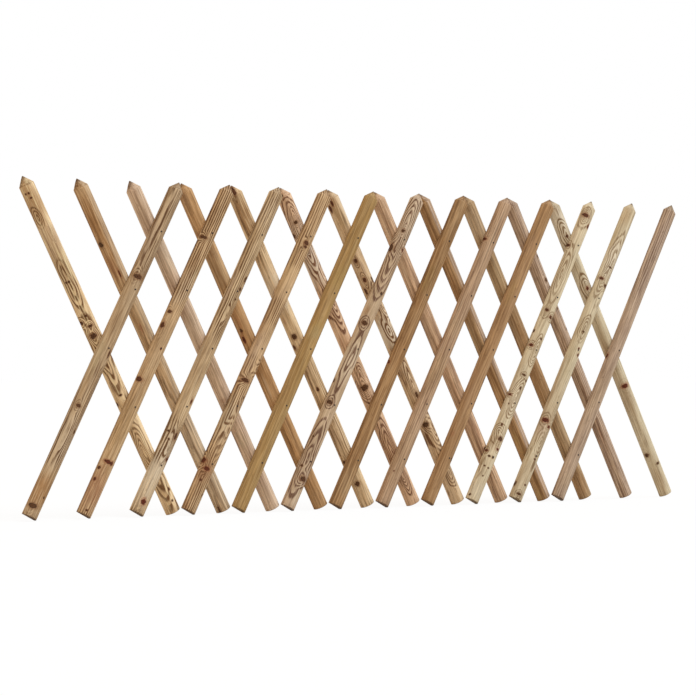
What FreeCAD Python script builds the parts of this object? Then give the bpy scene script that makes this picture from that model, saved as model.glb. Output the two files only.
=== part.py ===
import FreeCAD, Part
import math
import os

# Expanding wooden trellis, in millimetres. Two rows of split round poles cross each other,
# and one clinched nail at every crossing is a pivot, so that the whole lattice opens and closes.
# X runs along the trellis, Y from its front to its rear, Z up. The origin is at the level of the
# feet, in the middle of the length and of the depth.

# The lattice at rest
slats_per_row = 12
nails_per_slat = 5
nail_pitch = 197.0
rest_angle_degrees = 27.67
row_gap = 0.3

# A slat is a pointed round pole, sawn lengthwise a little behind its axis
pole_diameter = 48.0
slat_thickness = 29.0
top_overhang = 170.0
foot_overhang = 160.0
point_length = 28.0
point_end_diameter = 2.0

# A nail has a flat head, goes through both slats and is bent over on the rear face
nail_diameter = 2.8
nail_grip_clearance = 0.05
nail_pivot_clearance = 0.08
head_diameter = 5.2
head_thickness = 1.0
head_edge_radius = 0.3
head_seat_rim_depth = 0.12
head_seat_clearance = 0.1
tail_gap = 0.3
tail_length = 12.0
tail_point_length = 3.4

# Cutting bodies run past what they cut by this much
cut_overrun = 5.0

# Places in the lattice
rest_angle = math.radians(rest_angle_degrees)
half_column = nail_pitch * math.sin(rest_angle)
row_height = nail_pitch * math.cos(rest_angle)
outer_nail = (nails_per_slat - 1) // 2
pole_radius = pole_diameter / 2
slat_above_middle = outer_nail * nail_pitch + top_overhang
slat_below_middle = outer_nail * nail_pitch + foot_overhang
middle_height = slat_below_middle * math.cos(rest_angle) + pole_radius * math.sin(rest_angle)

# Depth of the seat that takes a nail head on the round face of a front slat
nail_radius = nail_diameter / 2
head_radius = head_diameter / 2
seat_radius = head_radius + head_seat_clearance
crown_drop_at_seat = pole_radius - math.sqrt(pole_radius**2 - seat_radius**2)
seat_depth = crown_drop_at_seat + head_seat_rim_depth

# Depth of the trellis: the middle of it lies at Y zero
front_reach = 2 * slat_thickness + row_gap + head_thickness - seat_depth
rear_reach = tail_gap + nail_diameter
back_row_rear = (front_reach - rear_reach) / 2
front_row_rear = back_row_rear - slat_thickness - row_gap
front_crown = front_row_rear - slat_thickness

along_depth = FreeCAD.Vector(0, 1, 0)
up = FreeCAD.Vector(0, 0, 1)


def crossing_place(front_number, step, y):
    """Where front slat front_number crosses the back slat that stands step places further on."""
    column = 2 * front_number + step - (slats_per_row + 1)
    return FreeCAD.Vector(column * half_column, y, middle_height + step * row_height)


def steps_on_front_slat(number):
    """Nail places on a front slat, counted from its middle: those that a back slat reaches."""
    steps = range(-outer_nail, outer_nail + 1)
    return [step for step in steps if 1 <= number + step <= slats_per_row]


def steps_on_back_slat(number):
    """Nail places on a back slat, counted from its middle: those that a front slat reaches."""
    steps = range(-outer_nail, outer_nail + 1)
    return [step for step in steps if 1 <= number - step <= slats_per_row]


def pointed_half_pole():
    """One blank slat standing on Z: flat face at Y zero, round face towards -Y, middle at Z zero."""
    axis_depth = slat_thickness - pole_radius
    foot = FreeCAD.Vector(0, -axis_depth, -slat_below_middle)
    shoulder = FreeCAD.Vector(0, -axis_depth, slat_above_middle - point_length)
    body_length = slat_above_middle + slat_below_middle - point_length
    pole = Part.makeCylinder(pole_radius, body_length, foot, up)
    point = Part.makeCone(pole_radius, point_end_diameter / 2, point_length, shoulder, up)
    pole = pole.fuse(point).removeSplitter()
    sawn_off = Part.makeBox(
        pole_diameter + 2 * cut_overrun,
        pole_diameter,
        slat_above_middle + slat_below_middle + 2 * cut_overrun,
        FreeCAD.Vector(-pole_radius - cut_overrun, 0, -slat_below_middle - cut_overrun),
    )
    return pole.cut(sawn_off)


def drilled_slat(blank, steps, hole_radius, with_head_seats):
    """The blank with a nail hole at each step, and a seat for the nail head on a front slat."""
    slat = blank
    hole_length = slat_thickness + 2 * cut_overrun
    for step in steps:
        z = step * nail_pitch
        start = FreeCAD.Vector(0, -slat_thickness - cut_overrun, z)
        slat = slat.cut(Part.makeCylinder(hole_radius, hole_length, start, along_depth))
        if with_head_seats:
            slat = slat.cut(Part.makeCylinder(seat_radius, cut_overrun + seat_depth, start, along_depth))
    return slat


def place_slat(slat, number, lean, y):
    """Lean a slat sideways about its middle and set its flat face at depth y."""
    turn = FreeCAD.Rotation(along_depth, lean * rest_angle_degrees)
    placed = slat.copy()
    placed.Placement = FreeCAD.Placement(crossing_place(number, 0, y), turn)
    return placed


def clinched_nail():
    """One nail with its axis on Y, the seat of its head at Y zero and its tail bent down."""
    seat_to_rear = 2 * slat_thickness + row_gap - seat_depth
    bend_radius = tail_gap + nail_radius
    head = Part.makeCylinder(head_radius, head_thickness, FreeCAD.Vector(0, -head_thickness, 0), along_depth)
    front_rim = [edge for edge in head.Edges if edge.BoundBox.YMax < -head_thickness / 2]
    head = head.makeFillet(head_edge_radius, front_rim)
    shank_end = FreeCAD.Vector(0, seat_to_rear, 0)
    bend_end = FreeCAD.Vector(0, seat_to_rear + bend_radius, -bend_radius)
    bend_share = 1 - math.sqrt(0.5)
    bend_middle = FreeCAD.Vector(0, seat_to_rear + bend_radius * (1 - bend_share), -bend_radius * bend_share)
    tail_end = bend_end - up * tail_length
    route = Part.Wire([
        Part.LineSegment(FreeCAD.Vector(0, 0, 0), shank_end).toShape(),
        Part.Arc(shank_end, bend_middle, bend_end).toShape(),
        Part.LineSegment(bend_end, tail_end).toShape(),
    ])
    section = Part.Wire([Part.makeCircle(nail_radius, FreeCAD.Vector(0, 0, 0), along_depth)])
    shank = route.makePipeShell([section], True, False)
    tail_point = Part.makeCone(nail_radius, 0, tail_point_length, tail_end, up * -1)
    return head.fuse([shank, tail_point]).removeSplitter()


def nails_of_front_slat(nail, number):
    """All nails of one front slat. Each tail lies along the back slat that it holds."""
    nails = []
    turn = FreeCAD.Rotation(along_depth, -rest_angle_degrees)
    for step in steps_on_front_slat(number):
        placed = nail.copy()
        placed.Placement = FreeCAD.Placement(crossing_place(number, step, front_crown + seat_depth), turn)
        nails.append(placed)
    return Part.makeCompound(nails)


os.makedirs("parts", exist_ok=True)
blank = pointed_half_pole()
nail = clinched_nail()
nodes = {}
for number in range(1, slats_per_row + 1):
    front_holes = steps_on_front_slat(number)
    back_holes = steps_on_back_slat(number)
    front = drilled_slat(blank, front_holes, nail_radius + nail_grip_clearance, True)
    back = drilled_slat(blank, back_holes, nail_radius + nail_pivot_clearance, False)
    nodes["front_slat_%02d" % number] = place_slat(front, number, 1, front_row_rear)
    nodes["back_slat_%02d" % number] = place_slat(back, number, -1, back_row_rear)
    nodes["nails_%02d" % number] = nails_of_front_slat(nail, number)

for name, shape in nodes.items():
    shape.exportStep("parts/%s.step" % name)

whole = Part.makeCompound(list(nodes.values()))
box = whole.optimalBoundingBox()
print("nodes", len(nodes), "solids", len(whole.Solids), "all valid", whole.isValid())
print("box x %.3f %.3f y %.3f %.3f z %.3f %.3f" % (box.XMin, box.XMax, box.YMin, box.YMax, box.ZMin, box.ZMax))
print("slat %.0f mm3, nail %.1f mm3" % (nodes["front_slat_06"].Volume, nail.Volume))
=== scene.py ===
import math

import bpy
from mathutils import Matrix, Vector


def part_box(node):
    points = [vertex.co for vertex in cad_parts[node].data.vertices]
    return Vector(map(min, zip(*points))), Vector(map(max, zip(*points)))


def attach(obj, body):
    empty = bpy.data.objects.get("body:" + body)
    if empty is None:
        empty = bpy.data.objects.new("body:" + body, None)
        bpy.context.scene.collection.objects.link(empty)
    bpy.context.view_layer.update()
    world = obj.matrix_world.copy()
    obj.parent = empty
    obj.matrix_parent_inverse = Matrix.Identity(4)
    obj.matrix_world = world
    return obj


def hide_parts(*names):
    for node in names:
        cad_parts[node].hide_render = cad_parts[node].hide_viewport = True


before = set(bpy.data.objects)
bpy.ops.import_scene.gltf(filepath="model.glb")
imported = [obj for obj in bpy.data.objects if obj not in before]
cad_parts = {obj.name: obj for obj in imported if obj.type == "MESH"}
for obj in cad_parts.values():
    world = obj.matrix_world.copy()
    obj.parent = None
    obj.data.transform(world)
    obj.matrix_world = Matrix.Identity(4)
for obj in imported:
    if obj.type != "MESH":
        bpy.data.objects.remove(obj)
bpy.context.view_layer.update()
bpy.ops.object.select_all(action="DESELECT")
scene = bpy.context.scene


# The slat blank. Every slat is a turned softwood pole, pressure treated, cut to a cone at its top, sawn
# off square at its foot, and sawn lengthwise a little behind its axis, so that its rear is flat. The
# machine leaves the arrises eased.
pole_radius = 0.024
slat_thickness = 0.029
slat_top = 0.564
slat_foot = -0.554
point_length = 0.028
point_end_radius = 0.001
arris_ease = 0.0009
arris_segments = 2
sharp_edge = math.radians(30)
pole_sides = 72
length_sections = 56
top_facing = 0.9

axis_depth = slat_thickness - pole_radius
shoulder = slat_top - point_length


def only(piece):
    """Makes one object the selected and active one."""
    bpy.ops.object.select_all(action="DESELECT")
    piece.select_set(True)
    bpy.context.view_layer.objects.active = piece


def apply_all(piece):
    """Applies the modifiers of a piece in their order."""
    only(piece)
    for modifier in list(piece.modifiers):
        bpy.ops.object.modifier_apply(modifier=modifier.name)


def pick_faces(piece, test):
    """In edit mode, selects the faces whose normal passes the test."""
    bpy.ops.mesh.select_all(action="DESELECT")
    bpy.ops.object.mode_set(mode="OBJECT")
    for face in piece.data.polygons:
        face.select = test(face.normal)
    bpy.ops.object.mode_set(mode="EDIT")


def half_pole():
    """One blank slat in its own frame: X across, flat rear at Y zero, Z along it from its middle nail."""
    length = shoulder - slat_foot
    bpy.ops.mesh.primitive_cylinder_add(
        vertices=pole_sides, radius=pole_radius, depth=length,
        location=(0, -axis_depth, (shoulder + slat_foot) / 2))
    pole = bpy.context.active_object
    bpy.ops.object.transform_apply(location=True, rotation=True, scale=True)
    bpy.ops.object.mode_set(mode="EDIT")
    bpy.ops.mesh.select_mode(type="FACE")
    pick_faces(pole, lambda normal: normal.z > top_facing)
    bpy.ops.mesh.extrude_region_move(TRANSFORM_OT_translate={"value": (0, 0, point_length)})
    end_share = point_end_radius / pole_radius
    bpy.ops.transform.resize(value=(end_share, end_share, 1), center_override=(0, -axis_depth, slat_top))
    bpy.ops.mesh.select_all(action="SELECT")
    bpy.ops.mesh.bisect(plane_co=(0, 0, 0), plane_no=(0, 1, 0), use_fill=True, clear_outer=True)
    for section in range(1, length_sections):
        height = slat_foot + length * section / length_sections
        bpy.ops.mesh.select_all(action="SELECT")
        bpy.ops.mesh.bisect(plane_co=(0, 0, height), plane_no=(0, 0, 1))
    bpy.ops.object.mode_set(mode="OBJECT")
    ease = pole.modifiers.new("ease", "BEVEL")
    ease.width = arris_ease
    ease.segments = arris_segments
    ease.limit_method = "ANGLE"
    ease.angle_limit = sharp_edge
    apply_all(pole)
    return pole


blank = half_pole()


# Holes and head seats. A nail hole is bored at every crossing, and on a front slat its mouth is sunk a
# little into the round face, so that the nail head sits flat on the wood.
nail_pitch = 0.197
hole_radius = 0.00148
seat_radius = 0.0027
seat_depth = 0.00027
bore_overrun = 0.004
bore_sides = 24


def rods(radius, rear, steps):
    """One object of round rods that reach from in front of the slat to this depth, one at each step."""
    front = -slat_thickness - bore_overrun
    made = []
    for step in steps:
        bpy.ops.mesh.primitive_cylinder_add(
            vertices=bore_sides, radius=radius, depth=rear - front,
            location=(0, (front + rear) / 2, step * nail_pitch), rotation=(math.pi / 2, 0, 0))
        made.append(bpy.context.active_object)
    bpy.ops.object.select_all(action="DESELECT")
    for rod in made:
        rod.select_set(True)
    bpy.context.view_layer.objects.active = made[0]
    bpy.ops.object.join()
    return made[0]


def own_copy(piece):
    """A copy of a piece with its own mesh."""
    made = piece.copy()
    made.data = piece.data.copy()
    scene.collection.objects.link(made)
    return made


def bored(steps, with_seats):
    """A blank with holes at these steps of the nail pitch, counted from its middle."""
    slat = own_copy(blank)
    cutters = [rods(hole_radius, bore_overrun, steps)]
    if with_seats:
        cutters.append(rods(seat_radius, seat_depth - slat_thickness, steps))
    for cutter in cutters:
        cut = slat.modifiers.new("bore", "BOOLEAN")
        cut.operation = "DIFFERENCE"
        cut.solver = "MANIFOLD"
        cut.object = cutter
    apply_all(slat)
    for cutter in cutters:
        bpy.data.objects.remove(cutter)
    return slat


# The wood. It is softwood with its own three-dimensional year rings about a wandering pith, so that a
# face turned near the rings shows nested ovals and arches, and one across them shows straight lines.
# Branches leave knots, round which the rings bend.
class Grain:
    """A socket of the material in hand. Operators on it add Math nodes, and node() adds any other."""

    def __init__(self, socket):
        self.socket = socket
        self.tree = socket.id_data

    def node(self, kind, settings, sockets):
        """Adds a node, with values or links in its sockets, and gives all its outputs."""
        made = self.tree.nodes.new(kind)
        for name, value in settings.items():
            if name == "stops":
                stops = made.color_ramp.elements
                while len(stops) < len(value):
                    stops.new(1.0)
                for stop, (place, level) in zip(stops, value):
                    stop.position = place
                    stop.color = colour(level, level, level)
            else:
                setattr(made, name, value)
        for name, value in sockets.items():
            if isinstance(value, Grain):
                self.tree.links.new(value.socket, made.inputs[name])
            else:
                made.inputs[name].default_value = value
        return [Grain(out) for out in made.outputs]

    def calc(self, operation, first, second=0.0):
        return self.node("ShaderNodeMath", {"operation": operation}, {0: first, 1: second})[0]

    def __add__(self, other):
        return self.calc("ADD", self, other)

    __radd__ = __add__

    def __sub__(self, other):
        return self.calc("SUBTRACT", self, other)

    def __rsub__(self, other):
        return self.calc("SUBTRACT", other, self)

    def __mul__(self, other):
        return self.calc("MULTIPLY", self, other)

    __rmul__ = __mul__

    def __truediv__(self, other):
        return self.calc("DIVIDE", self, other)

    def __rtruediv__(self, other):
        return self.calc("DIVIDE", other, self)

    def __pow__(self, other):
        return self.calc("POWER", self, other)

    def __rpow__(self, other):
        return self.calc("POWER", other, self)

    def __abs__(self):
        return self.calc("ABSOLUTE", self)

    def fraction(self):
        return self.calc("FRACT", self)

    def ease(self, low, high, low_value=0.0, high_value=1.0, way="SMOOTHSTEP"):
        """Goes from low_value at low to high_value at high, and stays there."""
        return self.node(
            "ShaderNodeMapRange", {"interpolation_type": way},
            {"Value": self, "From Min": low, "From Max": high, "To Min": low_value, "To Max": high_value})[0]

    def vector(self, operation, *others):
        sockets = dict(enumerate([self, *others]))
        return self.node("ShaderNodeVectorMath", {"operation": operation}, sockets)[0]

    def length(self):
        return self.node("ShaderNodeVectorMath", {"operation": "LENGTH"}, {0: self})[1]

    def xyz(self):
        return self.node("ShaderNodeSeparateXYZ", {}, {0: self})

    def mix(self, first, second):
        """The colour that lies as far from the first to the second as this value says."""
        return self.node("ShaderNodeMix", {"data_type": "RGBA"}, {0: self, 6: first, 7: second})[2]

    def feed(self, shader, name):
        """Links this to a socket of the shader."""
        self.tree.links.new(self.socket, shader.inputs[name])


def new_material(name):
    """A material, its shader, and its Object coordinates."""
    made = bpy.data.materials.new(name)
    made.use_nodes = True
    nodes = made.node_tree.nodes
    return made, nodes["Principled BSDF"], Grain(nodes.new("ShaderNodeTexCoord").outputs["Object"])


def colour(red, green, blue):
    return (red, green, blue, 1.0)


def shaded(tone, factor):
    """A tone made lighter or darker, up to white."""
    return colour(*(min(1.0, part * factor) for part in tone[:3]))


# Tones of the treated wood: the pale early wood, the dark late wood, and the stain that streaks it
wood_tones = {
    "tan": (colour(0.505, 0.350, 0.198), colour(0.106, 0.046, 0.017), colour(0.400, 0.250, 0.125)),
    "dun": (colour(0.495, 0.360, 0.220), colour(0.110, 0.050, 0.021), colour(0.390, 0.257, 0.138)),
    "orange": (colour(0.450, 0.275, 0.135), colour(0.160, 0.076, 0.028), colour(0.360, 0.200, 0.085)),
    "straw": (colour(0.585, 0.430, 0.256), colour(0.124, 0.058, 0.023), colour(0.480, 0.328, 0.178)),
    "pale": (colour(0.650, 0.550, 0.380), colour(0.225, 0.135, 0.066), colour(0.560, 0.450, 0.290)),
    "pink": (colour(0.505, 0.345, 0.218), colour(0.112, 0.050, 0.026), colour(0.410, 0.260, 0.155)),
    "rose": (colour(0.570, 0.420, 0.290), colour(0.148, 0.076, 0.044), colour(0.460, 0.320, 0.215)),
    "olive": (colour(0.450, 0.295, 0.130), colour(0.210, 0.115, 0.040), colour(0.380, 0.225, 0.080)),
}
# The smudge_and_shade tone marks dark smudges, and is also painted shade on the left of some slats' cones,
# near the tip.
patch_tones = {
    "tan": colour(0.400, 0.260, 0.140), "orange": colour(0.400, 0.210, 0.085),
    "straw": colour(0.560, 0.410, 0.240), "cream": colour(0.700, 0.560, 0.390),
    "rose": colour(0.500, 0.350, 0.250), "pink": colour(0.420, 0.265, 0.165),
    "plum": colour(0.300, 0.190, 0.145), "grey": colour(0.560, 0.480, 0.360),
    "sage": colour(0.480, 0.400, 0.240), "olive": colour(0.360, 0.240, 0.090),
    "yellow": colour(0.420, 0.280, 0.090), "brown": colour(0.250, 0.145, 0.072),
    "red": colour(0.330, 0.125, 0.060), "smudge_and_shade": colour(0.110, 0.062, 0.034),
    "blush": colour(0.660, 0.510, 0.390), "ivory": colour(0.820, 0.720, 0.560),
}
knot_dark = colour(0.016, 0.006, 0.003)
knot_brown = colour(0.150, 0.068, 0.026)
knot_red = colour(0.170, 0.026, 0.010)
halo_brown = colour(0.200, 0.092, 0.036)
halo_red = colour(0.330, 0.105, 0.045)
fibre_darker = 0.80
fibre_lighter = 1.25

# Every mark of the wood is a noise: its grains' size in metres across, in depth and along the slat, its
# detail, and an offset that keeps it apart from the others
marks = {
    "drift": ((9.0, 9.0, 0.16), 1.0, 0.31),
    "wobble": ((0.020, 0.020, 0.09), 2.0, 0.77),
    "bend": ((0.045, 0.045, 0.075), 1.0, 0.83),
    "edge": ((0.0060, 0.0060, 0.0060), 2.0, 0.53),
    "strength": ((0.030, 0.030, 0.30), 1.0, 0.19),
    "stain": ((0.014, 0.014, 0.26), 3.0, 0.91),
    "streak": ((0.0065, 0.0065, 0.34), 2.0, 0.43),
    "fibre": ((0.0018, 0.0018, 0.035), 3.0, 0.67),
    "strand": ((0.0042, 0.0042, 0.10), 2.0, 0.59),
    "fleck": ((0.0050, 0.0050, 0.016), 2.0, 0.25),
    "cloud": ((0.010, 0.010, 0.06), 2.0, 0.37),
    "saw": ((0.060, 0.060, 0.0016), 1.0, 0.71),
}
mark_roughness = 0.55

# The pith swings towards one side of the pole and sways less across that. The rings wobble, in shares of
# their spacing, and the ovals on the face are bent.
swing_side = math.radians(-31)
sway_share = 0.4
ring_wobble = 0.9
ring_start = 0.18
oval_bend = (0.016, 0.016, 0.045)

# A ring is pale early wood up to its dark late wood. Late wood is stronger in places and weak on a cone
# that is near the pith, and plain stretches show little of it.
ring_bands = [(0.0, 0), (0.36, 0.05), (0.62, 1), (0.92, 1), (1.0, 0)]
late_strength = (0.34, 0.58, 0.70, 1.0)
late_on_cone = (shoulder - 0.004, shoulder + 0.006, 1.0, 0.1)
plain_edge = 0.2
late_when_plain = (0.7, 1.15, 0.22, 1.0)

# Where on a noise each mark begins and ends, and its strength there
stain_band = (0.40, 0.64)
streak_band = (0.42, 0.66)
dark_strand = (0.50, 0.74, 0.0, 0.50)
dark_fibre = (0.54, 0.78, 0.0, 0.35)
light_strand = (0.50, 0.28, 0.0, 0.55)
light_fibre = (0.46, 0.26, 0.0, 0.35)
dark_fleck = (0.62, 0.74, 0.0, 0.35)
patch_fray = 0.9
patch_fade = (0.30, 1.20)
# A paler right side on some back slats is partly sapwood and partly painted light where the sun falls on that
# side.
sap_and_light_fray = 0.006
sap_and_light_blur = 0.0016

# The sawn rear and its saw lines, the foot's darker end grain and painted shade, the cut cone and its darker
# tip
rear_band = (-0.0012, -0.0002)
saw_band = (0.42, 0.66)
saw_line_dark = 0.28
rear_pale = 0.16
foot_grain_and_shade = (slat_foot + 0.0003, slat_foot + 0.0022, 0.6, 0.0)
cut_cone = (shoulder - 0.001, shoulder + 0.003, 0.0, 0.18)
darker_tip = (slat_top - 0.014, slat_top - 0.001, 0.0, 0.75)

# A knot, an eye or a patch is a spot on the round face that goes right through the slat
spot_depth = 0.12

# A wide knot bends the rings, and each has a dark heart, a rim and a halo, which reach this far in its
# half sizes
bending_width = 0.0045
bend_share = (0.42, 0.0, 0.20)
bend_reach = (0.1, 1.0)
bend_rings = 2.4
red_reach = (1.8, 3.0)
knot_fray = 1.25
halo_reach = (0.9, 2.4, 0.85, 0.0)
knot_bands = [(0.0, 1), (0.22, 0.25), (0.45, 0.55), (0.60, 0.20), (0.85, 1)]
knot_reach = (0.80, 1.15, 0.96, 0.0)

# Gloss and relief of turned, treated softwood
wood_gloss = 0.12
bare_roughness, fibre_roughness, late_roughness = 0.60, 0.16, 0.06
fibre_relief, late_relief, saw_relief = 0.5, 0.35, 0.5
relief_strength, relief_height = 0.4, 0.0004


def noise(local, seed, mark):
    """The noise of a mark: its value and its colour."""
    grains, detail, offset = marks[mark]
    stretched = local.node(
        "ShaderNodeMapping", {"vector_type": "TEXTURE"},
        {"Vector": local, "Location": (seed * offset, seed, offset), "Scale": grains})[0]
    return local.node(
        "ShaderNodeTexNoise", {},
        {"Vector": stretched, "Scale": 1.0, "Detail": detail, "Roughness": mark_roughness})


def spot(where, turn, height, half_width, half_height):
    """Place in a spot on the round face, in the spot's half sizes."""
    side = math.radians(turn)
    heart = (pole_radius * math.sin(side), -axis_depth - pole_radius * math.cos(side), height)
    return where.node(
        "ShaderNodeMapping", {"vector_type": "TEXTURE"},
        {"Vector": where, "Location": heart, "Rotation": (0, 0, side),
         "Scale": (half_width, spot_depth, half_height)})[0]


def year_rings(local, seed, pith, wander, spacing, farthest, eyes):
    """How far each point is from the wandering pith, with the rings of the eyes added."""
    across, depth = local.xyz()[:2]
    drift_x, drift_y = noise(local, seed, "drift")[1].xyz()[:2]
    swing = (drift_x - 0.5) * wander
    sway = (drift_y - 0.5) * (wander * sway_share)
    off_x = across - swing * math.sin(swing_side) - sway * math.cos(swing_side) - pith[0]
    off_y = depth + swing * math.cos(swing_side) - sway * math.sin(swing_side) - pith[1]
    wobble = (noise(local, seed, "wobble")[0] - 0.5) * (spacing * ring_wobble)
    rings = (off_x * off_x + off_y * off_y) ** 0.5 + wobble + (spacing * ring_start - farthest)
    bend = noise(local, seed, "bend")[1].vector(
        "MULTIPLY_ADD", oval_bend, tuple(-part / 2 for part in oval_bend))
    bent = local.vector("ADD", bend)
    for turn, height, half_width, half_length, count in eyes:
        oval = spot(bent, turn, height, half_width, half_length).length()
        rings = rings + oval.ease(0.0, 1.0, count * spacing, 0.0, "LINEAR")
    return rings


def with_knots(local, rings, spacing, knots):
    """The rings bent round the knots, the distance to the nearest knot, and its redness."""
    nearest = red = None
    for turn, height, half_width, half_height, redness in knots:
        here = spot(local, turn, height, half_width, half_height)
        away = here.length()
        if half_width > bending_width:
            drawn = here.vector("MULTIPLY", bend_share).length()
            rings = rings + drawn.ease(*bend_reach, spacing * bend_rings, 0.0)
        redder = away.ease(*red_reach, redness, 0.0)
        if nearest is None:
            nearest, red = away, redder
        else:
            nearest = nearest.calc("MINIMUM", nearest, away)
            red = red.calc("MAXIMUM", red, redder)
    return rings, nearest, red


def wood(name, place, tilt, seed, tone, shade, pith, wander, spacing, figure, streaks,
         knots, eyes=(), patches=(), plain=(), sap_and_light=None):
    """The wood of one slat, in the slat's own frame, in metres, with turns in degrees round the pole from
    its front to the right. The pith stands at a place across and in depth and wanders this far, and the
    rings have this spacing. Figure and streaks say how dark the late wood and the streaks are. A knot is
    (turn, height, half width, half height, redness), an eye of nested ovals (turn, height, half width,
    half length, rings), a patch of another tone (turn, height, half width, half length, tone, strength),
    a plain stretch (low, high), and sap_and_light is where a paler right side starts across the slat, with
    its tone and strength: that side is partly sapwood and partly painted light where the sun falls."""
    made, shader, start = new_material(name)
    local = start.node(
        "ShaderNodeMapping", {"vector_type": "TEXTURE"},
        {"Vector": start, "Location": place, "Rotation": (0, tilt, 0)})[0]
    across, depth, along = local.xyz()
    edge = noise(local, seed, "edge")[0] - 0.5
    cloud = noise(local, seed, "cloud")[0] - 0.5
    fibres = noise(local, seed, "fibre")[0]
    strands = noise(local, seed, "strand")[0]
    flecks = noise(local, seed, "fleck")[0]

    farthest = pole_radius + math.hypot(pith[0], pith[1] + axis_depth)
    rings = year_rings(local, seed, pith, wander, spacing, farthest, eyes)
    rings, nearest, red = with_knots(local, rings, spacing, knots)
    ring = (rings / spacing).fraction()
    late = ring.node("ShaderNodeValToRGB", {"stops": ring_bands}, {0: ring})[0]
    strong = noise(local, seed, "strength")[0].ease(*late_strength)
    if farthest < 2 * pole_radius:
        strong = strong * along.ease(*late_on_cone)
    for low, high in plain:
        outwards = abs(along - (low + high) / 2) / ((high - low) / 2)
        strong = strong * (outwards + edge * plain_edge).ease(*late_when_plain)

    early_tone, late_tone, stain_tone = [shaded(part, shade) for part in wood_tones[tone]]
    dark, light = shaded(late_tone, fibre_darker), shaded(early_tone, fibre_lighter)
    base = noise(local, seed, "stain")[0].ease(*stain_band).mix(early_tone, stain_tone)
    for turn, height, half_width, half_length, patch_tone, strength in patches:
        reach = spot(local, turn, height, half_width, half_length).length() + cloud * patch_fray
        base = reach.ease(*patch_fade, strength, 0.0).mix(base, patch_tones[patch_tone])
    # The paler right side is partly sapwood and partly painted light where the sun falls on it.
    if sap_and_light is not None:
        border, sap_and_light_tone, strength = sap_and_light
        outside = (across + cloud * sap_and_light_fray).ease(border - sap_and_light_blur, border + sap_and_light_blur, 0.0, strength)
        base = outside.mix(base, patch_tones[sap_and_light_tone])
    base = (late * strong * figure).mix(base, late_tone)
    streak = noise(local, seed, "streak")[0].ease(*streak_band)
    base = (streak * streaks).mix(base, late_tone)
    for mark, band, mark_tone in [(strands, dark_strand, dark), (fibres, dark_fibre, dark),
                                  (strands, light_strand, light), (fibres, light_fibre, light),
                                  (flecks, dark_fleck, dark)]:
        base = mark.ease(*band).mix(base, mark_tone)

    rear = depth.ease(*rear_band)
    saw_lines = noise(local, seed, "saw")[0].ease(*saw_band) * rear
    base = (saw_lines * saw_line_dark).mix(base, dark)
    base = (rear * rear_pale).mix(base, early_tone)
    # The foot is darker: end grain, and painted shade where its end faces down.
    base = along.ease(*foot_grain_and_shade).mix(base, dark)
    base = along.ease(*cut_cone).mix(base, dark)
    # The tip darkens towards its apex.
    base = along.ease(*darker_tip).mix(base, patch_tones["smudge_and_shade"])
    if nearest is not None:
        nearest = nearest + edge * knot_fray
        halo = nearest.ease(*halo_reach)
        base = (halo * halo).mix(base, red.mix(halo_brown, halo_red))
        heart = nearest.node("ShaderNodeValToRGB", {"stops": knot_bands}, {0: nearest})[0]
        base = nearest.ease(*knot_reach).mix(base, heart.mix(red.mix(knot_brown, knot_red), knot_dark))

    base.feed(shader, "Base Color")
    (fibres * fibre_roughness + late * late_roughness + bare_roughness).feed(shader, "Roughness")
    shader.inputs["Specular IOR Level"].default_value = wood_gloss
    relief = fibres * fibre_relief + late * late_relief + saw_lines * saw_relief
    bump = relief.node(
        "ShaderNodeBump", {}, {"Strength": relief_strength, "Distance": relief_height, "Height": relief})[0]
    bump.feed(shader, "Normal")
    return made


# The front slats lean to the right. They are numbered from the left end, and each is one piece of wood
# with its own tone, rings and knots, left very slightly uneven by the machine.
slats_per_row = 12
nails_per_slat = 5
lean = math.radians(27.67)
half_column = nail_pitch * math.sin(lean)
middle_height = -slat_foot * math.cos(lean) + pole_radius * math.sin(lean)
outer_step = (nails_per_slat - 1) // 2

unevenness = 0.0006
uneven_grain = 0.045
uneven_fineness = 1
uneven_inwards = 0.9
uneven_stretch = (1, 1, 2.6)
uneven_shift = (0.31, 0.17, 0.23)
smooth_below = math.radians(35)
bored_blanks = {}


def rear_of_row(row):
    """How far back the flat rears of a row lie."""
    return max(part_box("%s_slat_%02d" % (row, number))[1].y for number in range(1, slats_per_row + 1))


def roughen(piece, number, side):
    """Gives a bored slat its own slight unevenness. Most of it goes inwards, so that no slat grows."""
    hills = bpy.data.textures.new(piece.name, "CLOUDS")
    hills.noise_scale = uneven_grain
    hills.noise_depth = uneven_fineness
    shift = bpy.data.objects.new(piece.name + "-shift", None)
    scene.collection.objects.link(shift)
    shift_x, shift_y, shift_z = uneven_shift
    shift.location = (shift_x * number, shift_y * side, shift_z * number)
    shift.scale = uneven_stretch
    waves = piece.modifiers.new("uneven", "DISPLACE")
    waves.texture = hills
    waves.texture_coords = "OBJECT"
    waves.texture_coords_object = shift
    waves.strength = unevenness
    waves.mid_level = uneven_inwards
    bpy.context.view_layer.update()
    apply_all(piece)
    bpy.data.objects.remove(shift)


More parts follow.
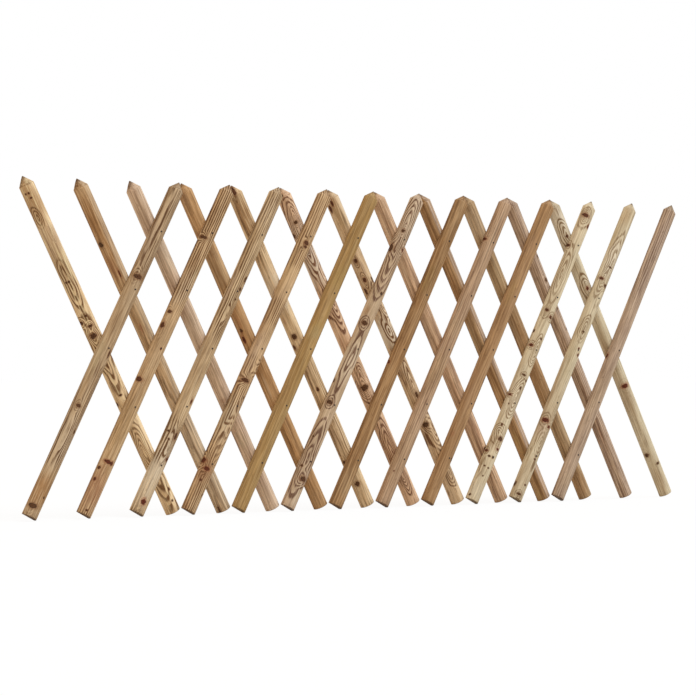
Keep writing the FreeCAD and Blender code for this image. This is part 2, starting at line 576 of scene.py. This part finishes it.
def set_row(row, side, with_seats, first_seed, seed_step, all_facts):
    """Makes the slats of one row, bores them, leans them to their places and hands them over. Slats with
    the same holes are copies of one bored blank. The side is 1 for a lean to the right, -1 to the left."""
    row_rear = rear_of_row(row)
    for number, facts in enumerate(all_facts, start=1):
        label = "%02d" % number
        node, body = row + "_slat_" + label, row + "_" + label
        steps = [step for step in range(-outer_step, outer_step + 1)
                 if 1 <= number + side * step <= slats_per_row]
        kind = (tuple(steps), with_seats)
        if kind not in bored_blanks:
            bored_blanks[kind] = bored(steps, with_seats)
        piece = own_copy(bored_blanks[kind])
        piece.name = piece.data.name = "slat-" + row + "-" + label
        roughen(piece, number, side)
        place = Vector(((2 * number - slats_per_row - 1) * half_column, row_rear, middle_height))
        piece.data.transform(Matrix.Translation(place) @ Matrix.Rotation(side * lean, 4, "Y"))
        only(piece)
        bpy.ops.object.shade_smooth_by_angle(angle=smooth_below)
        seed = first_seed + seed_step * number
        piece.data.materials.clear()
        piece.data.materials.append(wood(piece.name, place, side * lean, seed, **facts))
        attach(piece, body)
        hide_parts(node)


front_wood = [
    dict(tone="dun", shade=1.14, pith=(0.046, 0.033), wander=0.007, spacing=0.0034, figure=1.0, streaks=0.25,
         knots=[(-22, 0.236, 0.0114, 0.0078, 0.15), (-31, -0.196, 0.0062, 0.0052, 0.1),
                (27, -0.271, 0.0031, 0.0065, 0.0), (24, -0.014, 0.0035, 0.0117, 0.3),
                (-36, -0.522, 0.0114, 0.0078, 0.1), (17, -0.487, 0.0026, 0.0032, 0.0)],
         eyes=[(31, -0.031, 0.014, 0.05, 3), (-18, -0.282, 0.012, 0.07, 1)],
         patches=[(-64, 0.366, 0.012, 0.13, "rose", 0.35), (-54, -0.037, 0.016, 0.08, "sage", 0.4),
                  (-31, -0.474, 0.04, 0.07, "orange", 0.9), (-74, -0.44, 0.009, 0.11, "brown", 0.35),
                  (-31, 0.339, 0.04, 0.08, "cream", 0.2), (-31, -0.302, 0.04, 0.11, "cream", 0.5)],
         plain=[(-0.07, 0.234), (-0.554, -0.381)]),
    dict(tone="tan", shade=1.26, pith=(0.069, -0.046), wander=0.008, spacing=0.0066, figure=1.25, streaks=0.3,
         knots=[(-48, 0.371, 0.0097, 0.0046, 0.1), (-56, 0.115, 0.0062, 0.0052, 0.2),
                (-66, 0.068, 0.0062, 0.0104, 0.4), (-64, -0.113, 0.0097, 0.0078, 0.4),
                (-2, -0.002, 0.0026, 0.0039, 0.8), (-20, -0.382, 0.0114, 0.0052, 0.8),
                (12, -0.382, 0.0044, 0.0065, 0.4), (-66, -0.407, 0.0044, 0.0052, 0.3),
                (-60, -0.444, 0.0044, 0.0052, 0.6), (-20, -0.54, 0.0035, 0.0032, 0.3)],
         eyes=[(-36, 0.042, 0.014, 0.06, 2)],
         patches=[(8, 0.247, 0.008, 0.045, "sage", 0.5), (-42, 0.201, 0.04, 0.07, "cream", 0.45),
                  (-31, 0.009, 0.028, 0.1, "tan", 0.4), (-31, -0.255, 0.03, 0.11, "olive", 0.25),
                  (-36, -0.474, 0.04, 0.08, "red", 0.6)],
         plain=[(-0.554, 0.167)]),
    dict(tone="straw", shade=1.11, pith=(0.04, -0.022), wander=0.01, spacing=0.0056, figure=1.1, streaks=0.2,
         knots=[(27, 0.243, 0.0044, 0.0091, 0.0), (17, 0.207, 0.0044, 0.0052, 0.0),
                (11, 0.171, 0.0031, 0.0032, 0.0), (-56, -0.288, 0.004, 0.0032, 0.0),
                (-29, -0.312, 0.0035, 0.0032, 0.1), (-14, -0.517, 0.007, 0.0091, 1.0),
                (27, -0.369, 0.0044, 0.0065, 0.5), (14, -0.295, 0.0044, 0.0104, 0.2),
                (20, -0.176, 0.0035, 0.0091, 0.6)],
         eyes=[(-2, -0.335, 0.012, 0.09, 3), (4, 0.115, 0.012, 0.05, 2)],
         patches=[(-66, 0.194, 0.009, 0.08, "rose", 0.5), (-78, -0.031, 0.008, 0.06, "grey", 0.6),
                  (-31, -0.018, 0.014, 0.026, "brown", 0.35), (-31, -0.401, 0.04, 0.15, "ivory", 0.5),
                  (-69, -0.44, 0.01, 0.09, "grey", 0.6), (-31, 0.471, 0.04, 0.07, "cream", 0.45),
                  (-31, -0.031, 0.04, 0.1, "tan", 0.45)],
         plain=[(-0.242, 0.049), (-0.554, -0.381)]),
    dict(tone="tan", shade=1.31, pith=(0.06, -0.038), wander=0.01, spacing=0.0064, figure=0.95, streaks=0.2,
         knots=[(-10, 0.368, 0.007, 0.0065, 0.3), (-6, 0.356, 0.0053, 0.0039, 0.1),
                (-25, -0.113, 0.0114, 0.0059, 0.25), (24, -0.163, 0.0026, 0.0052, 0.0),
                (-78, -0.393, 0.0088, 0.0078, 0.7), (-25, -0.414, 0.0079, 0.0059, 0.8),
                (-36, -0.454, 0.0035, 0.0039, 0.3), (29, -0.493, 0.0026, 0.0039, 0.0)],
         eyes=[(41, -0.064, 0.02, 0.045, 4), (31, -0.282, 0.022, 0.11, 5)],
         patches=[(-54, -0.018, 0.022, 0.09, "rose", 0.45), (-54, -0.242, 0.02, 0.09, "sage", 0.45),
                  (-42, -0.427, 0.03, 0.045, "red", 0.5), (-66, -0.546, 0.014, 0.04, "red", 0.35),
                  (-66, 0.273, 0.014, 0.1, "olive", 0.35), (-20, -0.242, 0.04, 0.1, "cream", 0.45),
                  (-31, 0.128, 0.04, 0.11, "tan", 0.35)],
         plain=[(0.167, 0.286), (-0.031, 0.088)]),
    dict(tone="olive", shade=1.05, pith=(-0.03, 0.004), wander=0.006, spacing=0.0034, figure=0.3, streaks=0.5,
         knots=[],
         patches=[(-31, 0.247, 0.03, 0.05, "yellow", 0.45), (-25, 0.055, 0.022, 0.028, "sage", 0.4),
                  (-48, 0.141, 0.016, 0.06, "orange", 0.25), (-42, -0.176, 0.016, 0.06, "orange", 0.2),
                  (-31, 0.068, 0.02, 0.045, "yellow", 0.4)]),
    dict(tone="rose", shade=1.06, pith=(0.0, -0.005), wander=0.004, spacing=0.0062, figure=1.15, streaks=0.15,
         knots=[(-36, 0.419, 0.0053, 0.0059, 0.1), (-81, 0.353, 0.0097, 0.0117, 0.1),
                (31, 0.362, 0.0053, 0.0052, 0.7), (-4, 0.199, 0.0031, 0.0052, 0.0),
                (-36, 0.087, 0.0088, 0.0065, 0.1), (-44, -0.195, 0.0079, 0.0065, 0.1),
                (-84, -0.123, 0.0031, 0.0065, 0.0), (-60, -0.316, 0.0026, 0.0032, 0.0),
                (-2, -0.454, 0.0097, 0.0078, 0.15), (-54, -0.417, 0.0044, 0.0039, 0.1)],
         eyes=[(-40, 0.471, 0.021, 0.095, 1), (-29, 0.366, 0.03, 0.215, 6), (-31, -0.044, 0.016, 0.15, 2),
               (-36, -0.388, 0.024, 0.15, 4)],
         patches=[(-31, 0.005, 0.06, 0.7, "straw", 0.6), (-31, 0.471, 0.04, 0.09, "cream", 0.7),
                  (-54, 0.128, 0.009, 0.018, "orange", 0.5), (-36, -0.044, 0.04, 0.09, "cream", 0.8),
                  (-31, -0.46, 0.024, 0.045, "tan", 0.4), (4, -0.52, 0.008, 0.045, "cream", 0.6)]),
    dict(tone="orange", shade=1.03, pith=(0.026, 0.01), wander=0.006, spacing=0.005, figure=0.46,
         streaks=0.75,
         knots=[(-81, -0.057, 0.0044, 0.0065, 0.8)],
         patches=[(-36, 0.253, 0.02, 0.06, "olive", 0.6), (-54, 0.161, 0.024, 0.026, "orange", 0.5),
                  (-81, -0.282, 0.005, 0.04, "yellow", 0.3), (-31, 0.471, 0.04, 0.08, "straw", 0.3),
                  (-31, 0.009, 0.026, 0.09, "orange", 0.4), (-31, -0.474, 0.026, 0.06, "straw", 0.5)]),
    dict(tone="pink", shade=1.12, pith=(-0.06, 0.03), wander=0.008, spacing=0.0062, figure=0.3, streaks=0.42,
         knots=[(-85, 0.396, 0.0079, 0.0052, 0.7), (-42, -0.443, 0.0018, 0.0026, 0.5)],
         patches=[(-18, 0.419, 0.004, 0.14, "cream", 0.45), (-54, 0.128, 0.005, 0.08, "cream", 0.3),
                  (-31, -0.084, 0.024, 0.09, "olive", 0.3), (-74, -0.004, 0.008, 0.04, "rose", 0.5),
                  (-31, -0.388, 0.04, 0.1, "tan", 0.45), (-31, 0.075, 0.026, 0.05, "straw", 0.3)]),
    dict(tone="orange", shade=1.02, pith=(0.03, 0.002), wander=0.006, spacing=0.0046, figure=0.2,
         streaks=0.38,
         knots=[(38, -0.105, 0.0035, 0.0091, 0.0), (31, -0.393, 0.0035, 0.0065, 0.0)],
         patches=[(-31, 0.005, 0.06, 0.7, "pink", 0.25), (-42, 0.379, 0.02, 0.05, "pink", 0.3),
                  (-42, 0.207, 0.014, 0.06, "yellow", 0.25), (-31, -0.176, 0.022, 0.06, "pink", 0.2),
                  (-54, -0.315, 0.009, 0.014, "red", 0.35)]),
    dict(tone="pale", shade=1.1, pith=(0.0, -0.005), wander=0.004, spacing=0.005, figure=0.95, streaks=0.12,
         knots=[(-40, 0.502, 0.0101, 0.0065, 0.5), (24, 0.471, 0.0044, 0.0078, 0.9),
                (-86, 0.383, 0.007, 0.0052, 0.3), (-44, 0.142, 0.0053, 0.0052, 0.25),
                (12, 0.125, 0.0062, 0.0052, 0.5), (-83, 0.06, 0.0035, 0.0052, 0.0),
                (4, 0.042, 0.0035, 0.0039, 0.1), (-60, 0.009, 0.007, 0.0046, 0.8),
                (-20, -0.096, 0.0062, 0.0029, 0.0), (24, -0.11, 0.0035, 0.0039, 0.1),
                (-6, -0.142, 0.0031, 0.0052, 0.0), (-69, -0.175, 0.0062, 0.0032, 0.8),
                (-48, -0.207, 0.0018, 0.0026, 0.3), (-36, -0.282, 0.0035, 0.0032, 0.2),
                (-2, -0.328, 0.0088, 0.0065, 0.1), (12, -0.364, 0.0053, 0.0039, 0.9),
                (-78, -0.381, 0.0062, 0.0039, 0.7), (-36, -0.397, 0.0044, 0.0032, 0.1),
                (-4, -0.396, 0.0035, 0.0039, 0.1), (-42, -0.433, 0.0031, 0.0026, 0.0),
                (-6, -0.435, 0.0031, 0.0026, 0.0), (-25, -0.467, 0.0022, 0.0026, 0.0),
                (-66, -0.54, 0.0035, 0.0039, 0.1)],
         eyes=[(-36, 0.491, 0.022, 0.048, 3), (-42, 0.28, 0.02, 0.13, 4), (-44, 0.134, 0.015, 0.032, 3),
               (2, -0.004, 0.018, 0.06, 5), (-8, -0.176, 0.02, 0.08, 6), (-31, -0.315, 0.028, 0.04, 4)],
         patches=[(-31, -0.189, 0.04, 0.07, "ivory", 0.3), (-31, -0.348, 0.03, 0.032, "tan", 0.65),
                  (-42, -0.52, 0.03, 0.04, "grey", 0.4), (-66, 0.432, 0.012, 0.06, "rose", 0.25)]),
    dict(tone="pale", shade=1.02, pith=(0.0, -0.005), wander=0.004, spacing=0.005, figure=0.9, streaks=0.14,
         knots=[(-8, 0.313, 0.0044, 0.0032, 0.0), (-44, 0.265, 0.0079, 0.0046, 0.5),
                (15, 0.247, 0.0062, 0.0052, 0.1), (-20, 0.066, 0.004, 0.0032, 0.0),
                (-2, 0.006, 0.0031, 0.0039, 0.7), (17, -0.015, 0.0044, 0.0052, 0.6),
                (-42, -0.269, 0.0106, 0.0072, 0.85), (9, -0.285, 0.0053, 0.0046, 0.8),
                (29, -0.382, 0.0022, 0.0032, 0.0), (-2, -0.407, 0.0035, 0.0032, 0.1),
                (4, -0.5, 0.0035, 0.0032, 0.0), (-85, -0.507, 0.0044, 0.0078, 0.0),
                (-22, -0.537, 0.007, 0.0039, 0.0)],
         eyes=[(-6, 0.333, 0.021, 0.13, 4), (-29, 0.253, 0.016, 0.07, 3), (-22, 0.082, 0.015, 0.065, 4),
               (31, -0.209, 0.014, 0.06, 4), (-8, -0.348, 0.02, 0.06, 4)],
         patches=[(-20, 0.561, 0.01, 0.007, "smudge_and_shade", 0.9), (-42, 0.505, 0.022, 0.04, "straw", 0.75),
                  (-20, 0.346, 0.04, 0.09, "ivory", 0.8), (-31, -0.255, 0.04, 0.11, "tan", 0.4),
                  (-31, -0.46, 0.028, 0.075, "tan", 0.35), (-78, -0.15, 0.009, 0.13, "tan", 0.7),
                  (-31, -0.051, 0.018, 0.07, "sage", 0.35), (-42, -0.302, 0.02, 0.036, "rose", 0.5),
                  (-74, 0.405, 0.009, 0.045, "yellow", 0.4)],
         plain=[(-0.229, 0.042)]),
    dict(tone="rose", shade=0.97, pith=(0.06, -0.04), wander=0.006, spacing=0.0066, figure=0.8, streaks=0.42,
         knots=[(-86, -0.033, 0.0044, 0.0091, 0.6)],
         patches=[(-31, 0.005, 0.06, 0.7, "blush", 0.3), (-20, 0.551, 0.024, 0.016, "sage", 0.8),
                  (-31, 0.346, 0.04, 0.19, "blush", 0.85), (-42, 0.445, 0.009, 0.13, "plum", 0.25),
                  (-31, 0.075, 0.026, 0.05, "plum", 0.25), (-31, -0.176, 0.018, 0.12, "straw", 0.35),
                  (20, -0.057, 0.007, 0.06, "cream", 0.4), (-20, -0.493, 0.018, 0.04, "straw", 0.3)],
         plain=[(-0.554, 0.234)]),
]
set_row("front", side=1, with_seats=True, first_seed=3.7, seed_step=1.3,
        all_facts=front_wood)


# The back slats are the same turned pieces, leaning to the left behind the front ones, with only the
# bare nail holes. The nails grip them by their bent tails.
# Their shade factors are about a fifth higher than the front row's: painted light that makes up for the shade
# they lie in behind the front row.
back_wood = [
    dict(tone="straw", shade=1.57, pith=(0.0, -0.005), wander=0.004, spacing=0.0058, figure=1.15,
         streaks=0.18,
         knots=[(-60, 0.514, 0.0026, 0.0032, 0.4), (-36, 0.514, 0.0026, 0.0032, 0.4),
                (-36, 0.499, 0.0035, 0.0026, 0.4), (-54, 0.226, 0.0026, 0.0032, 0.1),
                (-34, 0.226, 0.0031, 0.0032, 0.1), (-23, 0.112, 0.004, 0.0032, 0.1),
                (-81, 0.095, 0.007, 0.0052, 0.3), (-23, 0.079, 0.007, 0.0039, 0.2),
                (-34, 0.047, 0.0097, 0.0078, 0.2), (-85, -0.176, 0.0035, 0.0065, 0.1),
                (-29, -0.151, 0.0044, 0.0032, 0.3), (17, -0.48, 0.0035, 0.0052, 0.3),
                (4, -0.516, 0.0035, 0.0032, 0.1)],
         eyes=[(-48, 0.438, 0.018, 0.05, 3), (-33, 0.214, 0.02, 0.1, 3), (-31, -0.018, 0.026, 0.15, 3),
               (-46, -0.328, 0.024, 0.11, 5), (-31, -0.421, 0.022, 0.11, 3)],
         # The dark patch on the left of the cone, near the tip, is painted shade.
         patches=[(-83, 0.551, 0.008, 0.02, "smudge_and_shade", 0.8), (-2, 0.545, 0.012, 0.014, "sage", 0.6),
                  (-42, 0.478, 0.04, 0.08, "orange", 0.7), (-31, 0.366, 0.04, 0.06, "pink", 0.6),
                  (-31, 0.267, 0.05, 0.085, "brown", 0.5), (-42, -0.54, 0.016, 0.03, "orange", 0.5)],
         plain=[(0.293, 0.416)]),
    dict(tone="tan", shade=1.29, pith=(0.024, 0.004), wander=0.008, spacing=0.0054, figure=0.45, streaks=0.45,
         knots=[(-66, 0.356, 0.0062, 0.0078, 0.0), (-23, 0.255, 0.0022, 0.0117, 0.7),
                (-58, -0.544, 0.0035, 0.0117, 0.1)],
         # The dark patch on the left of the cone, near the tip, is painted shade.
         patches=[(-74, 0.553, 0.01, 0.02, "smudge_and_shade", 0.95), (-42, 0.392, 0.05, 0.2, "orange", 0.95),
                  (-31, 0.068, 0.04, 0.06, "straw", 0.4), (-31, -0.361, 0.05, 0.26, "cream", 0.7),
                  (-48, 0.082, 0.016, 0.06, "orange", 0.6), (-42, 0.075, 0.005, 0.018, "red", 0.7),
                  (-54, 0.28, 0.014, 0.05, "red", 0.4), (-66, 0.356, 0.008, 0.024, "smudge_and_shade", 0.5)],
         sap_and_light=(-0.003, "cream", 0.4),
         plain=[(0.167, 0.564)]),
    dict(tone="rose", shade=1.3, pith=(0.028, 0.002), wander=0.006, spacing=0.0048, figure=0.22, streaks=0.3,
         knots=[],
         # The dark patch on the left of the cone, near the tip, is painted shade.
         patches=[(-74, 0.553, 0.009, 0.017, "smudge_and_shade", 0.8), (-31, 0.465, 0.026, 0.055, "tan", 0.35),
                  (-31, 0.313, 0.04, 0.08, "cream", 0.5), (-31, 0.082, 0.04, 0.06, "cream", 0.35),
                  (-31, -0.057, 0.04, 0.075, "tan", 0.6), (-31, -0.308, 0.02, 0.04, "sage", 0.35),
                  (-48, -0.17, 0.012, 0.01, "red", 0.3)]),
    dict(tone="orange", shade=1.34, pith=(0.01, 0.006), wander=0.008, spacing=0.005, figure=0.4, streaks=0.5,
         knots=[(-54, 0.072, 0.0035, 0.0065, 0.1), (-64, 0.042, 0.0044, 0.0117, 0.8)],
         patches=[(-54, 0.518, 0.014, 0.04, "pink", 0.5), (-31, 0.28, 0.04, 0.11, "straw", 0.6),
                  (-31, -0.044, 0.05, 0.11, "orange", 0.65), (-54, 0.101, 0.008, 0.04, "red", 0.4),
                  (-42, -0.123, 0.006, 0.06, "cream", 0.35), (-31, -0.52, 0.02, 0.04, "tan", 0.5),
                  (-66, 0.399, 0.008, 0.012, "red", 0.6)]),
    dict(tone="straw", shade=1.38, pith=(0.018, -0.01), wander=0.01, spacing=0.0052, figure=0.75, streaks=0.3,
         knots=[(-31, 0.547, 0.0053, 0.0104, 0.3), (-42, 0.051, 0.007, 0.0091, 0.15),
                (-78, 0.017, 0.0044, 0.0078, 0.3), (-34, -0.134, 0.004, 0.0065, 0.3),
                (-66, -0.392, 0.0062, 0.0059, 0.2), (-40, -0.471, 0.007, 0.0078, 0.15)],
         patches=[(-36, 0.531, 0.007, 0.06, "smudge_and_shade", 0.6), (-36, 0.465, 0.028, 0.075, "orange", 0.75),
                  (-66, 0.108, 0.006, 0.018, "red", 0.5), (-64, -0.13, 0.004, 0.045, "smudge_and_shade", 0.45),
                  (-31, 0.207, 0.04, 0.08, "ivory", 0.5), (-31, -0.282, 0.026, 0.06, "rose", 0.35)],
         plain=[(-0.044, 0.326), (-0.554, -0.414)]),
    dict(tone="pink", shade=1.58, pith=(0.0, -0.005), wander=0.004, spacing=0.0058, figure=1.15, streaks=0.18,
         knots=[(-50, 0.542, 0.0044, 0.0039, 0.1), (-25, 0.449, 0.0062, 0.0046, 0.1),
                (-83, 0.408, 0.0044, 0.0065, 0.1), (-25, 0.353, 0.0053, 0.0039, 0.1),
                (-31, -0.13, 0.0114, 0.0091, 0.15), (-8, -0.373, 0.0044, 0.0039, 0.6)],
         eyes=[(-25, 0.452, 0.025, 0.105, 4), (-20, 0.359, 0.026, 0.14, 4), (4, 0.167, 0.026, 0.12, 5),
               (-25, -0.077, 0.02, 0.036, 3), (-31, -0.13, 0.028, 0.066, 4), (-25, -0.368, 0.022, 0.15, 5),
               (-20, -0.454, 0.02, 0.08, 3)],
         patches=[(-60, 0.035, 0.006, 0.04, "red", 0.5), (-31, 0.247, 0.022, 0.022, "pink", 0.4),
                  (-54, -0.374, 0.016, 0.03, "red", 0.3), (-31, 0.339, 0.05, 0.13, "ivory", 0.7),
                  (-31, -0.051, 0.044, 0.06, "tan", 0.35), (-31, -0.361, 0.044, 0.09, "orange", 0.5)]),
    dict(tone="dun", shade=1.45, pith=(0.0, -0.005), wander=0.004, spacing=0.0052, figure=1.1, streaks=0.3,
         knots=[(-74, 0.508, 0.0044, 0.0117, 0.5), (-44, 0.524, 0.0035, 0.0091, 0.5),
                (-46, 0.323, 0.0048, 0.0065, 0.3), (-39, 0.255, 0.0048, 0.0078, 0.4),
                (-64, 0.218, 0.004, 0.0104, 0.3), (-31, -0.266, 0.0088, 0.0078, 0.0),
                (-6, -0.16, 0.0044, 0.0078, 0.1), (27, 0.247, 0.0035, 0.0065, 0.0)],
         eyes=[(20, 0.167, 0.024, 0.08, 5), (-18, 0.075, 0.017, 0.06, 3), (-8, -0.143, 0.014, 0.12, 4),
               (20, -0.282, 0.028, 0.105, 5), (-8, -0.454, 0.02, 0.052, 4)],
         patches=[(-6, 0.471, 0.005, 0.036, "smudge_and_shade", 0.55), (31, 0.491, 0.007, 0.08, "cream", 0.6),
                  (-14, 0.293, 0.006, 0.036, "plum", 0.4), (-31, 0.471, 0.024, 0.06, "olive", 0.25),
                  (-31, 0.068, 0.044, 0.075, "ivory", 0.7), (-31, 0.207, 0.04, 0.06, "tan", 0.35)]),
    dict(tone="pink", shade=1.44, pith=(0.022, 0.0), wander=0.01, spacing=0.0052, figure=0.45, streaks=0.5,
         knots=[(12, -0.365, 0.007, 0.0052, 0.4)],
         patches=[(-18, 0.392, 0.005, 0.16, "brown", 0.45), (-54, 0.366, 0.009, 0.16, "cream", 0.35),
                  (4, -0.308, 0.008, 0.05, "red", 0.5), (-54, 0.088, 0.018, 0.06, "cream", 0.25)]),
    dict(tone="orange", shade=1.11, pith=(0.03, 0.006), wander=0.006, spacing=0.006, figure=0.65, streaks=0.6,
         knots=[],
         patches=[(-54, -0.335, 0.016, 0.06, "yellow", 0.4), (-31, 0.465, 0.04, 0.08, "brown", 0.35),
                  (-31, 0.049, 0.05, 0.11, "straw", 0.6), (-54, 0.247, 0.006, 0.06, "red", 0.2),
                  (-54, -0.533, 0.016, 0.03, "yellow", 0.45)],
         sap_and_light=(-0.0035, "blush", 0.9)),
    dict(tone="tan", shade=1.04, pith=(0.032, 0.002), wander=0.006, spacing=0.0044, figure=0.22, streaks=0.4,
         knots=[],
         patches=[(-31, 0.471, 0.04, 0.07, "cream", 0.4), (-31, 0.273, 0.024, 0.06, "sage", 0.2),
                  (-31, -0.057, 0.05, 0.2, "orange", 0.7), (-42, -0.308, 0.02, 0.04, "straw", 0.25),
                  (-42, -0.493, 0.04, 0.07, "orange", 0.6)]),
    dict(tone="rose", shade=1.14, pith=(0.05, -0.03), wander=0.01, spacing=0.0066, figure=0.6, streaks=0.7,
         knots=[(15, 0.26, 0.0053, 0.0059, 0.0), (29, 0.345, 0.0026, 0.0052, 0.0),
                (29, 0.075, 0.0026, 0.0039, 0.0), (15, 0.154, 0.0026, 0.0039, 0.0)],
         patches=[(-48, -0.123, 0.007, 0.09, "brown", 0.6), (-42, -0.308, 0.004, 0.06, "red", 0.5),
                  (-66, -0.388, 0.01, 0.15, "plum", 0.45), (-31, 0.075, 0.04, 0.06, "brown", 0.3)],
         sap_and_light=(-0.0095, "blush", 0.6)),
    dict(tone="pale", shade=1.0, pith=(0.0, -0.005), wander=0.004, spacing=0.005, figure=1.05, streaks=0.25,
         knots=[(-14, 0.433, 0.0044, 0.0046, 0.2), (-36, 0.403, 0.0044, 0.0039, 0.1),
                (-14, 0.238, 0.0053, 0.0059, 0.8), (-20, -0.131, 0.0106, 0.0072, 0.9),
                (-66, -0.393, 0.007, 0.0065, 0.1), (4, -0.435, 0.0062, 0.0039, 0.0)],
         eyes=[(-16, 0.434, 0.021, 0.072, 4), (-16, 0.24, 0.021, 0.072, 4)],
         patches=[(-66, -0.004, 0.01, 0.1, "tan", 0.75), (-54, 0.538, 0.02, 0.022, "orange", 0.3),
                  (-20, 0.465, 0.04, 0.09, "ivory", 0.85), (-31, 0.22, 0.04, 0.09, "ivory", 0.5),
                  (-42, -0.176, 0.024, 0.09, "tan", 0.45), (-42, -0.493, 0.024, 0.06, "tan", 0.45)],
         plain=[(-0.554, 0.167)]),
]
set_row("back", side=-1, with_seats=False, first_seed=24.1, seed_step=1.7,
        all_facts=back_wood)
for spare in [blank, *bored_blanks.values()]:
    bpy.data.objects.remove(spare)


# The nails. Flat-headed steel wire nails go through both rows and are bent over at the rear. Weather has
# turned them dark brown, with a little bare steel left on the heads.
rust_grain = 900.0
rust_detail = 4.0
rust_band = (0.38, 0.62)
bare_steel = colour(0.032, 0.025, 0.021)
rusty_steel = colour(0.036, 0.020, 0.012)
bare_steel_roughness, rust_roughness = 0.42, 0.35
bare_steel_metal, rust_dulling = 0.60, 0.5
pit_strength, pit_depth = 0.4, 0.0002


def nail_steel():
    """Dark weathered steel: the more rust, the rougher and the less metallic."""
    made, shader, place = new_material("nail-steel")
    spots = place.node(
        "ShaderNodeTexNoise", {}, {"Vector": place, "Scale": rust_grain, "Detail": rust_detail})[0]
    rust = spots.ease(*rust_band)
    rust.mix(bare_steel, rusty_steel).feed(shader, "Base Color")
    (rust * rust_roughness + bare_steel_roughness).feed(shader, "Roughness")
    (bare_steel_metal - rust * rust_dulling).feed(shader, "Metallic")
    pits = place.node(
        "ShaderNodeBump", {}, {"Strength": pit_strength, "Distance": pit_depth, "Height": spots})[0]
    pits.feed(shader, "Normal")
    return made


steel = nail_steel()
for number in range(1, slats_per_row + 1):
    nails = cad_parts["nails_%02d" % number]
    nails.data.materials.clear()
    nails.data.materials.append(steel)


# The stage: a plain pale floor without an edge in view, and soft daylight from the upper right with a
# warm fill all round. The floor and the sky show white to the camera, and the floor keeps the shadow.
floor_reach = 60.0
floor_gap = 0.0005
floor_tone = colour(0.55, 0.53, 0.50)
floor_glow = 1.06
floor_white_share = 0.86
sky_tone = colour(0.84, 0.70, 0.54)
sky_white_share = 1.0
white = colour(1.0, 1.0, 1.0)
sun_tone = (0.75, 0.97, 1.22)
sun_strength = 2.2
sun_width = math.radians(38)
sun_azimuth = math.radians(45)
sun_height = math.radians(55)


def show_white(owner, output, lit, shown, share):
    """Gives a floor or a sky its lit shader, and mixes in the shown one by this share for the rays of the
    camera, of gloss and of glass."""
    owner.use_nodes = True
    nodes = owner.node_tree.nodes
    nodes.clear()
    ray = nodes.new("ShaderNodeLightPath").outputs
    seen = Grain(ray["Is Camera Ray"])
    for kind in ("Is Glossy Ray", "Is Transmission Ray"):
        seen = seen.calc("MAXIMUM", seen, Grain(ray[kind]))
    looks = [seen.node(*look)[0] for look in (lit, shown)]
    surface = seen.node("ShaderNodeMixShader", {}, {0: seen * share, 1: looks[0], 2: looks[1]})[0]
    seen.node(output, {}, {"Surface": surface})


bpy.ops.mesh.primitive_plane_add(size=2 * floor_reach, location=(0, 0, -floor_gap))
floor = bpy.context.active_object
floor.name = "floor"
floor_paint = bpy.data.materials.new("floor")
show_white(floor_paint, "ShaderNodeOutputMaterial",
           ("ShaderNodeBsdfDiffuse", {}, {"Color": floor_tone}),
           ("ShaderNodeEmission", {}, {"Color": white, "Strength": floor_glow}), floor_white_share)
floor.data.materials.append(floor_paint)

sky = bpy.data.worlds.new("sky")
scene.world = sky
show_white(sky, "ShaderNodeOutputWorld",
           ("ShaderNodeBackground", {}, {"Color": sky_tone}),
           ("ShaderNodeBackground", {}, {"Color": white}), sky_white_share)

sun_data = bpy.data.lights.new("key", "SUN")
sun_data.color = sun_tone
sun_data.energy = sun_strength
sun_data.angle = sun_width
sun = bpy.data.objects.new("key", sun_data)
scene.collection.objects.link(sun)
sun_from = Vector((math.cos(sun_height) * math.sin(sun_azimuth),
                   -math.cos(sun_height) * math.cos(sun_azimuth), math.sin(sun_height)))
sun.rotation_euler = sun_from.to_track_quat("Z", "Y").to_euler()


# The camera stands to the left of the trellis, at less than half its height, and looks level to the
# right along it. Its place, lens and shift were fitted to the nail heads and the slats' ends.
image_side = 696
view_turn = math.radians(36.46)
camera_distance = 8.842
camera_height = 0.4499
aim_along = -0.0881
focal_pixels = 2801.9
shift_pixels = 17.8
sensor_width = 36.0
far_clip = 200.0
aim = Vector((aim_along, rear_of_row("back"), camera_height))

camera_data = bpy.data.cameras.new("camera")
camera = bpy.data.objects.new("camera", camera_data)
scene.collection.objects.link(camera)
scene.camera = camera
camera_data.sensor_width = sensor_width
camera_data.lens = focal_pixels / image_side * sensor_width
camera_data.shift_y = shift_pixels / image_side
camera_data.clip_end = far_clip
look = Vector((math.sin(view_turn), math.cos(view_turn), 0))
camera.location = aim - look * camera_distance
camera.rotation_euler = look.to_track_quat("-Z", "Y").to_euler()
scene.view_settings.view_transform = "Standard"
